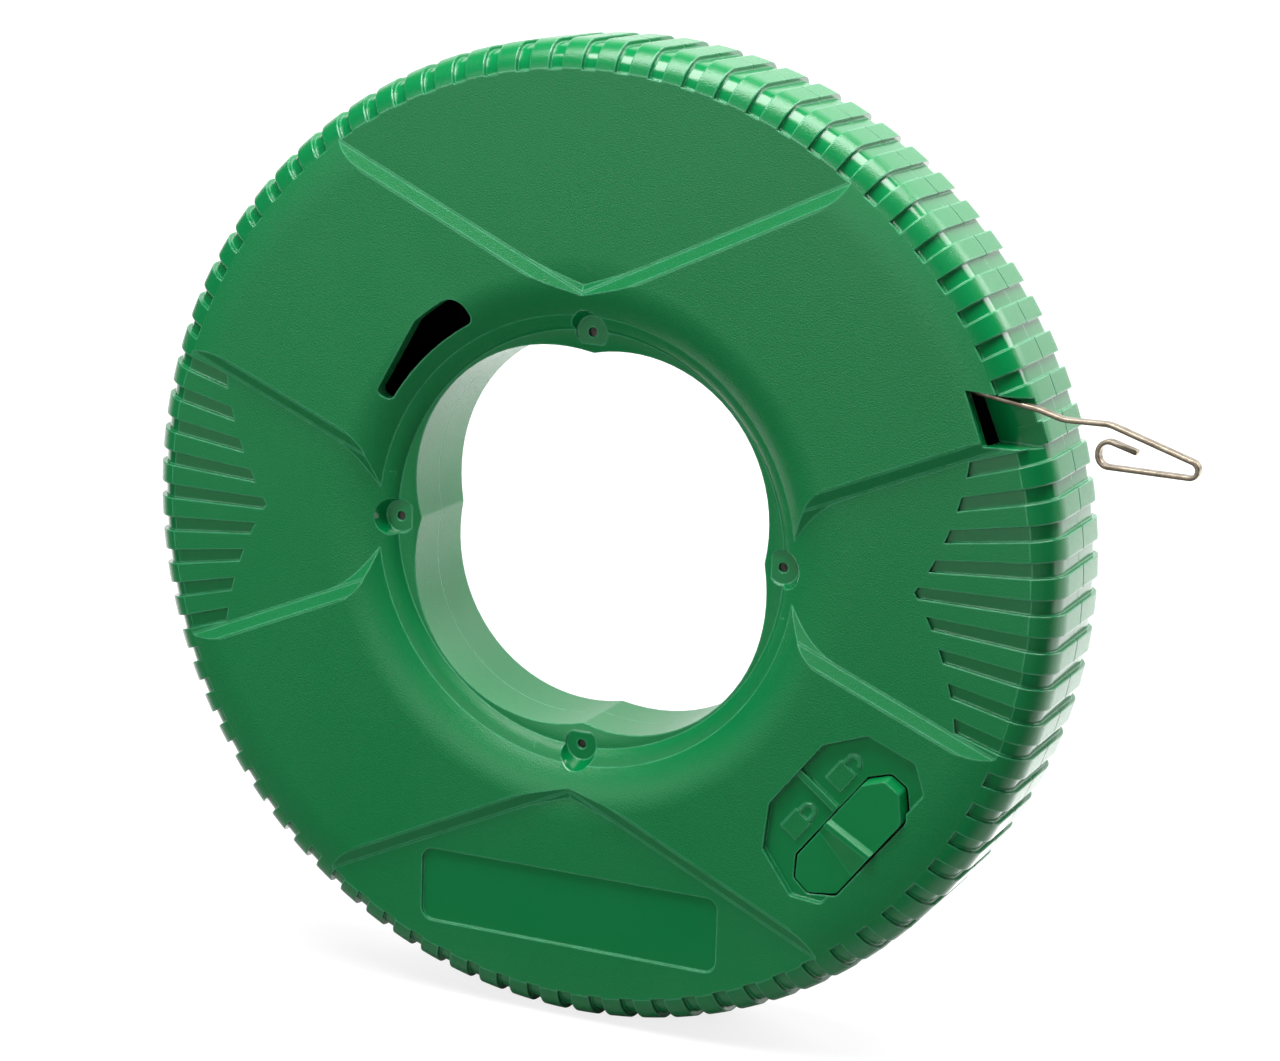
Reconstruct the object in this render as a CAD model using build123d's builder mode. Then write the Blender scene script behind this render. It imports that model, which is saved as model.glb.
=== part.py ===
"""Closed-case steel fish tape: two ribbed half shells round a hand hole, a spinning reel
basket with its coil, a spring-steel tape end with a formed hook, and a rocker lock.

Millimetres, +Z up. The case axis lies along Y with the front face towards -Y, and the
origin is the middle of the hand hole, on the seam between the two shells.
"""
from math import atan2, cos, degrees, radians, sin, sqrt, tan
import os

from build123d import *

os.makedirs("parts", exist_ok=True)

# ---------------------------------------------------------------- case outline
case_radius = 155.0        # over the rim ribs
rim_flat = 13.6            # half width of the flat rim, from the seam
corner_radius = 10.6       # rim corner
crease_radius = 146.4      # circle where the rim corner breaks into the face
rib_height = 1.5           # ribs above the rim slots
rib_count = 84
slot_angle = 1.8           # width of one slot, degrees
rim_wall = 2.4             # wall left under the slots
face_wall = 2.7            # wall of the recessed wedges
inner_corner_radius = 7.7
slot_start = 0.3           # slots start this far inside the crease
seam_groove = 0.25         # half width of the groove round the rim at the seam
seam_groove_depth = 0.9
arm_height = 1.9           # raised arms above the recessed wedges
arm_side = [(0.15, 12.0), (1.6, 26.0), (0.15, 12.0)]  # depths and slopes of their sides
arm_side_foot = 26.0       # slope of the sides where the face dishes below their foot
arm_side_reach = 10.5      # depth of the cuts beside the arms
arm_roll_start = 133.5     # the arms roll down from here to the rim corner
arm_roll_radius = 45.5
arm_end = 147.9            # inside the rim corner
arm_skin = 1.0             # the arms reach this far into the plain shell
dish_start = 90.5          # radius where the face starts to dish into the hand hole
dish_radius = 49.0
arm_dish_start = 86.0
arm_merge_radius = 71.5    # where the arms run out into the dish
roll_start = 70.0          # radius where the dish rolls over into the steep ring
ring_radius = 66.5         # foot of the ring
ring_depth = 16.3          # distance of that foot from the seam
land_inner = 57.0          # inner end of the land between the ring and the hand hole
land_depth = 12.9

# ---------------------------------------------------------------- face pattern
top_wedge_apex = 76.8      # height of the upper and lower wedge points
top_wedge_rise = 25.2      # slope of their sides, degrees above level
side_wedge_apex = 21.6
side_wedge_rise = 22.9
side_slot_half_count = 4   # long slots each side of the middle one in a side wedge
slot_end_radius = 95.0     # arcs that the long slots end on
slot_end_x = 31.4
slot_end_z = 52.1
panel_width = 103.6        # bare recessed panel in the lower wedge
panel_height = 24.4
panel_z = -118.3
panel_depth = 1.0
panel_corner = 4.0

# ---------------------------------------------------------------- hand hole and screws
hole_arc_radius = 48.5     # the hole is four such arcs that meet in soft points
hole_arc_offset = 12.1
hole_point_radius = 2.5
hub_radius = 71.5          # outside of the shells' hub wall, inside the case
screw_circle = 65.8
pocket_floor = 15.6        # distance of the front screw pockets' floors from the seam
pocket_radius = 5.2
pocket_top_radius = 7.6
pocket_height = 6.4
pocket_wall = 1.8          # shell left round and under a pocket
screw_radius = 1.45
screw_clearance = 0.06
screw_head_radius = 3.2
screw_head_height = 2.2
screw_tip_depth = 0.9      # screw tips sit this far below the front pocket floors
screw_drive_radius = 1.5
screw_drive_depth = 1.2
screw_seat = 12.0          # distance of the rear counterbore floors from the seam
screw_seat_radius = 3.7

# ---------------------------------------------------------------- winding window
window_inner = 76.2
window_outer = 86.2
window_tail_outer = 81.4
window_start = 119.0       # degrees, at the wide end
window_knee = 131.0
window_end = 149.6
window_corner_radii = (2.6, 2.0, 2.0, 7.0, 6.0)  # inner wide, inner tail, tail, knee, outer wide

# ---------------------------------------------------------------- exit slot
exit_angle = 23.0          # direction of the slot from the axis, degrees
exit_corners = [(123.6, 62.3), (150.0, 59.8), (155.0, 46.6), (129.8, 46.1)]
exit_ramp_radius = 138.8   # radius of the ramp's inner edge
exit_ramp_depth = 14.0     # distance of that edge from the seam
exit_lip = 17.2            # distance of the slot's outer lip from the seam
exit_wall = 1.5
exit_low = 18.0            # ends of the funnel round the slot, below and above its middle
exit_high = 10.6

# ---------------------------------------------------------------- reel
running_gap = 0.06
seat_gap = 0.05
side_gap = 0.35            # between moving parts that do not bear on each other
sleeve_wall = 2.4
sleeve_front = 13.5        # ends of the bearing sleeve, distances from the seam
sleeve_back = 16.6
circlip_groove = 0.7
circlip_width = 1.0
circlip_height = 3.2
circlip_opening = 14.0     # degrees
washer_thickness = 0.8
washer_height = 3.0
basket_front = 8.5         # front rim of the basket, distance from the seam
basket_floor = 15.4        # inside of the basket floor
basket_floor_wall = 2.0
basket_wall = 4.2
basket_outer = 147.5
basket_hub_wall = 2.6
basket_hub_front = 5.4
lock_ring_wall = 2.0
lock_ring_inner = 124.0
notch_count = 36
notch_width = 5.0
notch_depth = 7.0
ring_screw_count = 6
ring_screw_radius = 1.0
ring_screw_head = 1.8
ring_screw_head_height = 1.0
ring_screw_length = 8.0
glide_inner = 92.0
glide_outer = 100.0
glide_gap = 0.15
coil_depth = 16.0          # radial build of the wound tape
coil_play = 0.2
anchor_angle = 200.0
anchor_y = 3.5
anchor_radius = 1.2
anchor_head_radius = 2.5
anchor_head_height = 1.4
anchor_length = 6.0

# ---------------------------------------------------------------- tape end
tape_width = 3.2
tape_thickness = 1.5
tape_lean = 3.64           # degrees that its plane leans towards the front
tape_plane_y = -10.47
tape_points = [
    (-85.4, 92.4), (144.7, 58.0), (152.5, 55.9), (166.4, 56.2),
    (207.2, 43.6), (163.5, 43.9), (163.5, 52.3), (174.9, 49.1),
]
tape_bends = [20.0, 12.0, 9.0, 2.4, 3.3, 3.3]

# ---------------------------------------------------------------- lock
lock_angle = -38.4         # direction of the lock from the axis, degrees
recess_depth = 2.0
recess_points = [(98.0, 13.5), (105.9, 26.0), (121.9, 30.6), (130.2, 25.2)]
recess_corner = 2.0
bar_width = 2.4
bar_height = 1.3
bar_end = 114.0
bar_shift = 0.8
icon_height = 0.4
icon_length = 6.6          # radial and tangential size of a padlock body
icon_width = 7.8
icon_bow = 2.0             # radius of the shackle's bow
icon_wire = 1.1
icon_leg = 2.4
icon_radial = 108.2
icon_open_tang = 9.5
icon_closed_tang = -12.9
pivot_depth = 17.5         # distance of the rocker's pin from the seam
pivot_shift = -2.2         # tangential place of the pin
lock_tilt = 5.0            # rocker tilt each side of level, degrees
rocker_inner = 114.8
rocker_outer = 131.4
rocker_points = [(114.8, 18.7), (119.0, 24.7), (124.8, 25.1), (131.4, 18.7)]  # from the pin
rocker_corner = 2.0
rocker_gap = 0.6
rocker_end_gap = 0.35
rocker_bottom = 4.4        # heights above the pin: underside of its plate
low_lobe = 8.0
high_lobe = 8.9
high_lobe_end = 8.3
crest_height = 10.6
crest_half = 0.8
crest_step = 0.9
crest_tangs = (-0.7, 1.7)  # places of the crest past the pin, inner and outer end
valley_tangs = (-5.5, -8.5)
pin_radius = 1.5
boss_radius = 2.9
ear_wall = 1.8
ear_width = 9.0
ear_height = 2.4           # ear above the pin
frame_plate = 1.4
frame_face = 12.6          # front of the frame's plate, distance from the seam
frame_inner = 100.0
frame_half = 14.0
frame_screw_radial = 104.0
frame_screw_tangs = (-11.0, 7.0)
frame_screw_radius = 0.95
frame_screw_head = 2.2
frame_screw_head_height = 1.3
frame_screw_length = 6.5
frame_boss_radius = 3.2
bolt_radial = 127.5
bolt_arm = 9.0             # from the pin to the bolt
bolt_radius = 2.0
bolt_head_radius = 3.1
bolt_head_top = 18.0
bolt_head_height = 1.4
bolt_bite = 1.0            # how far the bolt enters the lock ring
lug_radius = 1.8
spring_wire = 0.3
spring_radius = 2.65
spring_turns = 3
leaf_radial = 119.0
leaf_width = 5.0
leaf_thickness = 0.5
leaf_rise = 0.8
leaf_flat = 4.5
leaf_half = 9.0
leaf_rivet_tang = 7.0      # past the pin
rivet_radius = 1.0
rivet_head = 1.8
rivet_head_height = 0.7

# ---------------------------------------------------------------- overlaps between shapes
overshoot = 1.0            # how far a cutting shape runs past the face it cuts
root = 0.5                 # how far an added shape runs into the one that carries it
skin = 0.3                 # how far added walls stay inside the outer faces

# ---------------------------------------------------------------- worked out from the above
SLOT_PITCH = 360 / rib_count
CORNER_CENTRE = case_radius - corner_radius
CREASE_DROP = crease_radius - CORNER_CENTRE
RIM_THICKNESS = rib_height + rim_wall
WEDGE_FACE = rim_flat + sqrt(corner_radius**2 - CREASE_DROP**2)
ARM_FACE = WEDGE_FACE + arm_height
SLOT_FLOOR = rim_flat + sqrt((corner_radius - rib_height) ** 2 - CREASE_DROP**2)
INNER_FACE = WEDGE_FACE - face_wall
INNER_RIM = case_radius - RIM_THICKNESS
SLOT_END = crease_radius - slot_start
SLEEVE_INNER = hub_radius + seat_gap
SLEEVE_OUTER = SLEEVE_INNER + sleeve_wall
BASKET_BORE = SLEEVE_OUTER + running_gap
BASKET_INNER = basket_outer - basket_wall
BASKET_BACK = basket_floor + basket_floor_wall
COIL_OUTER = BASKET_INNER - coil_play
RING_SCREW_CIRCLE = basket_outer - basket_wall / 2
LOCK_RING_BACK = basket_front + seat_gap
LOCK_RING_FRONT = LOCK_RING_BACK + lock_ring_wall
CIRCLIP_BACK = basket_hub_front + washer_thickness + 2 * seat_gap
LOCK_FLOOR = ARM_FACE - recess_depth
EAR_PLACES = (rocker_inner - side_gap - ear_wall, rocker_outer + side_gap)
BOLT_TANG = pivot_shift - bolt_arm
BOLT_HEAD_BOTTOM = bolt_head_top - bolt_head_height
BOLT_TIP = LOCK_RING_FRONT - bolt_bite
BOLT_ANGLE = lock_angle + degrees(atan2(BOLT_TANG, bolt_radial))
FRAME_BACK = frame_face - frame_plate
LEAF_BACK = frame_face + seat_gap
LUG_FOOT = (
    (bolt_head_top - pivot_depth + side_gap) * cos(radians(lock_tilt))
    + bolt_arm * sin(radians(lock_tilt))
)

FRONT = Plane.XZ           # local x = X, local y = Z, outwards = -Y


def dish_depth(radius, start, bend, face):
    """Distance from the seam of a dished face at a radius from the axis."""
    return face + sqrt(bend**2 - (start - radius) ** 2) - bend


def section_plane(angle):
    """Plane through the axis at an angle: local x is the radius, local y is Y."""
    turn = radians(angle)
    return Plane(origin=(0, 0, 0), x_dir=(cos(turn), 0, sin(turn)), z_dir=(-sin(turn), 0, cos(turn)))


def face_plane(angle, depth):
    """Plane parallel to the front face: local x radial at the angle, local y tangential."""
    turn = radians(angle)
    return Plane(origin=(0, -depth, 0), x_dir=(cos(turn), 0, sin(turn)), z_dir=(0, -1, 0))


def mirrored_pairs(points):
    """A closed outline from the points of one half, mirrored in local x."""
    return points + [(x, -y) for x, y in reversed(points)]


def side_profile():
    """Outline of what is cut away beside an arm: distance past its edge, distance from the seam."""
    runs = [(depth / tan(radians(slope)), depth) for depth, slope in arm_side]
    across, level = -sum(run for run, _ in runs) / 2, ARM_FACE
    corners = [(across, level + overshoot), (across, level)]
    for run, depth in runs:
        across, level = across + run, level - depth
        corners.append((across, level))
    foot = arm_side_reach / tan(radians(arm_side_foot))
    corners.append((across + foot, level - arm_side_reach))
    return corners + [(case_radius, level - arm_side_reach), (case_radius, ARM_FACE + overshoot)]


def wedge_space(apex, rise):
    """Space over the upper wedge: all that lies past both of its curved sides."""
    turn = radians(rise)
    with BuildPart() as space:
        for side, mode in ((-1, Mode.ADD), (1, Mode.INTERSECT)):
            plane = Plane(origin=(0, 0, apex), x_dir=(side * sin(turn), 0, cos(turn)),
                          z_dir=(cos(turn), 0, -side * sin(turn)))
            with BuildSketch(plane):
                Polygon(*side_profile(), align=None)
            extrude(amount=2 * case_radius, both=True, mode=mode)
    return space.part


def shell_body():
    """Plain front half shell: rim at rib level, face dished to a steep ring, hub wall."""
    groove = case_radius - seam_groove_depth
    roll_reach = dish_start - roll_start
    with BuildPart() as body:
        with BuildSketch(Plane.XY):
            with BuildLine():
                Polyline((INNER_RIM, 0), (groove, 0), (groove, -seam_groove),
                         (case_radius, -seam_groove), (case_radius, -rim_flat))
                RadiusArc((case_radius, -rim_flat), (crease_radius, -WEDGE_FACE), corner_radius)
                Line((crease_radius, -WEDGE_FACE), (dish_start, -WEDGE_FACE))
                roll = (roll_start, -dish_depth(roll_start, dish_start, dish_radius, WEDGE_FACE))
                RadiusArc((dish_start, -WEDGE_FACE), roll, dish_radius)
                TangentArc(roll, (ring_radius, -ring_depth),
                           tangent=(-sqrt(dish_radius**2 - roll_reach**2), roll_reach))
                TangentArc((ring_radius, -ring_depth), (land_inner, -land_depth), tangent=(-1, 0))
                hub_top = -dish_depth(hub_radius, dish_start, dish_radius - face_wall, INNER_FACE)
                Polyline((land_inner, -land_depth), (land_inner, 0), (hub_radius, 0),
                         (hub_radius, hub_top))
                RadiusArc((hub_radius, hub_top), (dish_start, -INNER_FACE), -(dish_radius - face_wall))
                corner = (INNER_RIM - inner_corner_radius, inner_corner_radius - INNER_FACE)
                Line((dish_start, -INNER_FACE), (corner[0], -INNER_FACE))
                RadiusArc((corner[0], -INNER_FACE), (INNER_RIM, corner[1]), -inner_corner_radius)
                Line((INNER_RIM, corner[1]), (INNER_RIM, 0))
            make_face()
        revolve(axis=Axis.Y)
    return body.part


def raised_arms():
    """The four arms of the face: a round-edged, dished disc cut to an X with curved sides."""
    drop = ARM_FACE - dish_depth(arm_merge_radius, dish_start, dish_radius, WEDGE_FACE)
    reach = arm_dish_start - arm_merge_radius
    bend = (reach**2 + drop**2) / (2 * drop)
    inner = arm_merge_radius - overshoot
    under = WEDGE_FACE - arm_skin
    roll = arm_end - arm_roll_start
    end_level = ARM_FACE - arm_roll_radius + sqrt(arm_roll_radius**2 - roll**2)
    with BuildPart() as arms:
        with BuildSketch(Plane.XY):
            with BuildLine():
                start = (inner, -dish_depth(inner, arm_dish_start, bend, ARM_FACE))
                RadiusArc(start, (arm_dish_start, -ARM_FACE), -bend)
                Line((arm_dish_start, -ARM_FACE), (arm_roll_start, -ARM_FACE))
                RadiusArc((arm_roll_start, -ARM_FACE), (arm_end, -end_level), -arm_roll_radius)
                Polyline((arm_end, -end_level), (arm_end, -under), (dish_start, -under))
                below = (inner, -dish_depth(inner, dish_start, dish_radius - arm_skin, under))
                RadiusArc((dish_start, -under), below, dish_radius - arm_skin)
                Line(below, start)
            make_face()
        revolve(axis=Axis.Y)
        for turn in (0, 180):
            add(wedge_space(top_wedge_apex, top_wedge_rise).rotate(Axis.Y, turn), mode=Mode.SUBTRACT)
            add(wedge_space(side_wedge_apex, 90 - side_wedge_rise).rotate(Axis.Y, turn + 90),
                mode=Mode.SUBTRACT)
    return arms.part


def rim_slot_cutter():
    """One slot over the rim corner and down the rim, drawn about +Z with the front up."""
    beyond = case_radius + overshoot
    above = ARM_FACE + overshoot
    with BuildPart() as cutter:
        with BuildSketch(Plane.XZ.rotated((0, 0, -slot_angle / 2))):
            with BuildLine():
                floor = case_radius - rib_height
                Line((floor, -overshoot), (floor, rim_flat))
                RadiusArc((floor, rim_flat), (crease_radius, SLOT_FLOOR), -(corner_radius - rib_height))
                Line((crease_radius, SLOT_FLOOR), (SLOT_END, SLOT_FLOOR))
                Line((SLOT_END, SLOT_FLOOR), (SLOT_END, above))
                Line((SLOT_END, above), (beyond, above))
                Line((beyond, above), (beyond, -overshoot))
                Line((beyond, -overshoot), (floor, -overshoot))
            make_face()
        revolve(axis=Axis.Z, revolution_arc=slot_angle)
    return cutter.part


def side_slots():
    """Long slots of the two side wedges, from their curved ends out to the crease."""
    reach = crease_radius + root
    half_width = reach * tan(radians(slot_angle / 2))
    span = 2 * side_slot_half_count * SLOT_PITCH
    with BuildPart() as slots:
        with BuildSketch(FRONT.offset(SLOT_FLOOR)):
            for middle in (0, 180):
                with PolarLocations(0, 2 * side_slot_half_count + 1, start_angle=middle - span / 2,
                                    angular_range=span, endpoint=True):
                    Polygon((0, 0), (reach, -half_width), (reach, half_width), align=None)
            with GridLocations(2 * slot_end_x, 2 * slot_end_z, 2, 2):
                Circle(slot_end_radius, mode=Mode.SUBTRACT)
        extrude(amount=ARM_FACE)
    return slots.part


def hand_hole():
    """Prism of the hand hole: four arcs that meet in soft points at the screws."""
    with BuildPart() as hole:
        with BuildSketch(FRONT.offset(-ARM_FACE - overshoot)) as outline:
            with GridLocations(2 * hole_arc_offset, 2 * hole_arc_offset, 2, 2):
                Circle(hole_arc_radius)
            fillet(outline.vertices(), hole_point_radius)
        extrude(amount=2 * (ARM_FACE + overshoot))
    return hole.part


def lock_plane(tilt):
    """Plane at the rocker's pin: local x along the pin, z outwards, tilted about the pin."""
    level = face_plane(lock_angle, pivot_depth)
    along, across, out = level.x_dir, level.y_dir, level.z_dir
    normal = out * cos(radians(tilt)) - across * sin(radians(tilt))
    return Plane(origin=level.origin + across * pivot_shift, x_dir=along, z_dir=normal)


def rocker_sweep(end_gap=0.0, side_margin=0.0):
    """Solid that the rocker's outline sweeps about its pin, grown by gaps at ends and sides."""
    (inner, low), (near, mid), (far, high), (outer, last) = rocker_points
    with BuildPart() as swept:
        with BuildSketch(PIN_PLANE) as outline:
            Polygon((inner - side_margin, 0), (inner - side_margin, low + end_gap),
                    (near - side_margin / 2, mid + end_gap), (far + side_margin / 2, high + end_gap),
                    (outer + side_margin, last + end_gap), (outer + side_margin, 0), align=None)
            corners = outline.vertices().sort_by(Axis(PIN_PLANE.origin, PIN_PLANE.y_dir))[2:]
            fillet(corners, rocker_corner)
        revolve(axis=Axis(PIN_PLANE.origin, PIN_PLANE.x_dir))
    return swept.part


def rocker_section(crest, valley):
    """Cross-section of the rocker's plate: places across the pin and heights above it."""
    half = rocker_points[2][1] + overshoot
    return [
        (-half, rocker_bottom), (-half, low_lobe), (valley, low_lobe),
        (crest - crest_half, crest_height), (crest + crest_half, crest_height),
        (crest + crest_half + crest_step, high_lobe), (half, high_lobe_end), (half, rocker_bottom),
    ]


def padlock(middle, is_open):
    """Flat outline of a padlock mark; an open one has its far shackle leg cut short."""
    top = middle + icon_width / 2
    with BuildSketch() as mark:
        with Locations((icon_radial, top + icon_leg)):
            Circle(icon_bow + icon_wire / 2)
            Circle(icon_bow - icon_wire / 2, mode=Mode.SUBTRACT)
            Rectangle(4 * icon_bow, 2 * icon_bow, align=(Align.CENTER, Align.MAX), mode=Mode.SUBTRACT)
        for leg in ([-icon_bow] if is_open else [-icon_bow, icon_bow]):
            with Locations((icon_radial + leg, top)):
                Rectangle(icon_wire, icon_leg, align=(Align.CENTER, Align.MIN))
        with Locations((icon_radial, middle)):
            Rectangle(icon_length, icon_width)
    return mark.sketch


def case_space():
    """Solid of revolution a little inside the rim slots' floors and the outer faces."""
    edge = case_radius - rib_height - skin
    bend = corner_radius - rib_height - skin
    face = WEDGE_FACE - rib_height - skin
    start = hub_radius - overshoot
    with BuildPart() as space:
        with BuildSketch(Plane.XY):
            with BuildLine():
                Polyline((start, 0), (edge, 0), (edge, -rim_flat))
                RadiusArc((edge, -rim_flat), (CORNER_CENTRE, -rim_flat - bend), bend)
                Line((CORNER_CENTRE, -rim_flat - bend), (dish_start, -face))
                hub_edge = -dish_depth(start, dish_start, dish_radius, face)
                RadiusArc((dish_start, -face), (start, hub_edge), dish_radius)
                Line((start, hub_edge), (start, 0))
            make_face()
        revolve(axis=Axis.Y)
    return space.part


EXIT_PLANE = section_plane(exit_angle)
PIN_PLANE = lock_plane(0)
ROCKER_PLANE = lock_plane(lock_tilt)
inside = case_space()
half_blank = shell_body() + raised_arms()
rim_slot = rim_slot_cutter()
long_slots = side_slots()
hole_prism = hand_hole()

# ---------------------------------------------------------------- front shell
with BuildPart() as exit_cut:
    with BuildSketch(FRONT):
        Polygon(*exit_corners, align=None)
    extrude(amount=ARM_FACE + overshoot)
    reach = case_radius + overshoot
    above = -ARM_FACE - overshoot
    with BuildSketch(EXIT_PLANE):
        Polygon((dish_start, -exit_ramp_depth), (exit_ramp_radius, -exit_ramp_depth),
                (case_radius, -exit_lip), (reach, -exit_lip), (reach, above), (dish_start, above),
                align=None)
    extrude(amount=reach, both=True, mode=Mode.INTERSECT)

with BuildPart() as exit_funnel:
    with BuildSketch(EXIT_PLANE.offset(-exit_low)):
        Polygon((exit_ramp_radius, exit_wall - exit_ramp_depth), (case_radius, exit_wall - exit_lip),
                (case_radius, -SLOT_FLOOR), (exit_ramp_radius, -SLOT_FLOOR), align=None)
    extrude(amount=exit_low + exit_high)
    add(inside, mode=Mode.INTERSECT)

with BuildPart(FRONT) as pockets:
    with PolarLocations(screw_circle, 4):
        with Locations((0, 0, pocket_floor)):
            Cone(pocket_radius, pocket_top_radius, pocket_height,
                 align=(Align.CENTER, Align.CENTER, Align.MIN))
        with Locations((0, 0, pocket_floor + pocket_height)):
            Cylinder(pocket_top_radius, pocket_height, align=(Align.CENTER, Align.CENTER, Align.MIN))

with BuildPart(FRONT) as pocket_bosses:
    with PolarLocations(screw_circle, 4):
        with Locations((0, 0, pocket_floor - pocket_wall)):
            Cone(pocket_radius + pocket_wall, pocket_top_radius + pocket_wall, pocket_height,
                 align=(Align.CENTER, Align.CENTER, Align.MIN))
    add(inside.moved(FRONT.location.inverse()), mode=Mode.INTERSECT)

with BuildPart(FRONT) as front_shell:
    add(half_blank.moved(FRONT.location.inverse()))
    add(pocket_bosses.part.moved(FRONT.location.inverse()))
    add(exit_funnel.part.moved(FRONT.location.inverse()))
    with BuildSketch(FRONT.offset(WEDGE_FACE - panel_depth)):
        with Locations((0, panel_z)):
            RectangleRounded(panel_width, panel_height, panel_corner)
    extrude(amount=ARM_FACE, mode=Mode.SUBTRACT)
    with BuildSketch(face_plane(lock_angle, LOCK_FLOOR)) as recess:
        Polygon(*mirrored_pairs(recess_points), align=None)
        fillet(recess.vertices(), recess_corner)
    extrude(amount=ARM_FACE, mode=Mode.SUBTRACT)
    with BuildSketch(face_plane(lock_angle, LOCK_FLOOR)):
        with Locations((bar_end, bar_shift)):
            Rectangle(bar_end - recess_points[0][0] + overshoot, bar_width,
                      align=(Align.MAX, Align.CENTER))
    extrude(amount=bar_height)
    with BuildSketch(face_plane(lock_angle, LOCK_FLOOR)):
        add(padlock(icon_open_tang, True))
        add(padlock(icon_closed_tang, False))
    extrude(amount=icon_height)
    with BuildSketch(face_plane(lock_angle, frame_face + seat_gap)):
        for tang in frame_screw_tangs:
            with Locations((frame_screw_radial, tang)):
                Circle(frame_boss_radius)
    extrude(amount=INNER_FACE - frame_face + root)
    with BuildSketch(face_plane(lock_angle, frame_face)):
        for tang in frame_screw_tangs:
            with Locations((frame_screw_radial, tang)):
                Circle(frame_screw_radius + screw_clearance)
    extrude(amount=frame_screw_length, mode=Mode.SUBTRACT)
    add(rocker_sweep(rocker_end_gap, rocker_gap).moved(FRONT.location.inverse()), mode=Mode.SUBTRACT)
    with BuildSketch(FRONT.offset(pocket_floor)) as window:
        with BuildLine():
            corners = [
                PolarLocations(radius, 1, angle).locations[0].position for radius, angle in (
                    (window_inner, window_start), (window_inner, window_end),
                    (window_tail_outer, window_end), (window_outer, window_knee),
                    (window_outer, window_start))]
            RadiusArc(corners[0], corners[1], -window_inner)
            Line(corners[1], corners[2])
            Line(corners[2], corners[3])
            RadiusArc(corners[3], corners[4], window_outer)
            Line(corners[4], corners[0])
        make_face()
        for corner, radius in zip(corners, window_corner_radii):
            fillet(window.vertices().sort_by_distance(corner)[0], radius)
    extrude(amount=ARM_FACE, mode=Mode.SUBTRACT)
    add(exit_cut.part.moved(FRONT.location.inverse()), mode=Mode.SUBTRACT)
    add(pockets.part.moved(FRONT.location.inverse()), mode=Mode.SUBTRACT)
    add(hole_prism.moved(FRONT.location.inverse()), mode=Mode.SUBTRACT)
    add(long_slots.moved(FRONT.location.inverse()), mode=Mode.SUBTRACT)
    with PolarLocations(0, rib_count):
        add(rim_slot, mode=Mode.SUBTRACT)
    with PolarLocations(screw_circle, 4):
        Hole(screw_radius + screw_clearance)

# ---------------------------------------------------------------- rear shell
with BuildPart(FRONT) as rear_half:
    add(half_blank.moved(FRONT.location.inverse()))
    with PolarLocations(screw_circle, 4):
        with Locations((0, 0, screw_seat)):
            Cylinder(screw_seat_radius, ARM_FACE, align=(Align.CENTER, Align.CENTER, Align.MIN),
                     mode=Mode.SUBTRACT)
        Hole(screw_radius + screw_clearance)
    add(hole_prism.moved(FRONT.location.inverse()), mode=Mode.SUBTRACT)
    add(long_slots.moved(FRONT.location.inverse()), mode=Mode.SUBTRACT)
    with PolarLocations(0, rib_count):
        add(rim_slot, mode=Mode.SUBTRACT)

with BuildPart() as rear_shell:
    add(rear_half.part.mirror(FRONT))

# ---------------------------------------------------------------- case screws
BACK = Plane(origin=(0, 0, 0), x_dir=(1, 0, 0), z_dir=(0, 1, 0))
with BuildPart(BACK) as case_screws:
    shank = screw_seat + pocket_floor - screw_tip_depth
    with PolarLocations(screw_circle, 4):
        with Locations((0, 0, screw_seat + seat_gap)):
            Cylinder(screw_radius, shank, align=(Align.CENTER, Align.CENTER, Align.MAX))
            Cylinder(screw_head_radius, screw_head_height, align=(Align.CENTER, Align.CENTER, Align.MIN))
        with Locations((0, 0, screw_seat + seat_gap + screw_head_height)):
            Cylinder(screw_drive_radius, screw_drive_depth, mode=Mode.SUBTRACT,
                     align=(Align.CENTER, Align.CENTER, Align.MAX))

# ---------------------------------------------------------------- bearing sleeve and its clip
with BuildPart() as hub_sleeve:
    with BuildSketch(Plane.XY):
        with Locations((SLEEVE_INNER, -sleeve_front)):
            Rectangle(sleeve_wall, sleeve_front + sleeve_back, align=(Align.MIN, Align.MIN))
        with Locations((SLEEVE_OUTER, seat_gap - CIRCLIP_BACK)):
            Rectangle(circlip_groove, circlip_width + 2 * seat_gap, align=(Align.MAX, Align.MAX),
                      mode=Mode.SUBTRACT)
    revolve(axis=Axis.Y)

with BuildPart() as hub_circlip:
    with BuildSketch(Plane.XY):
        with Locations((SLEEVE_OUTER - circlip_groove + seat_gap, -CIRCLIP_BACK)):
            Rectangle(circlip_height, circlip_width, align=(Align.MIN, Align.MAX))
    revolve(axis=Axis.Y, revolution_arc=360 - circlip_opening)

with BuildPart() as hub_washer:
    with BuildSketch(Plane.XY):
        with Locations((BASKET_BORE, -basket_hub_front - seat_gap)):
            Rectangle(washer_height, washer_thickness, align=(Align.MIN, Align.MAX))
    revolve(axis=Axis.Y)

# ---------------------------------------------------------------- reel basket
def radial_hole(radius, angle, place_y, start, length):
    """Round prism along a radius of the case, between two distances from the axis."""
    turn = radians(angle)
    outward = Vector(cos(turn), 0, sin(turn))
    plane = Plane(origin=outward * start + Vector(0, place_y, 0), x_dir=(0, 1, 0), z_dir=outward)
    with BuildPart(plane) as prism:
        Cylinder(radius, length, align=(Align.CENTER, Align.CENTER, Align.MIN))
    return prism.part


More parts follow.
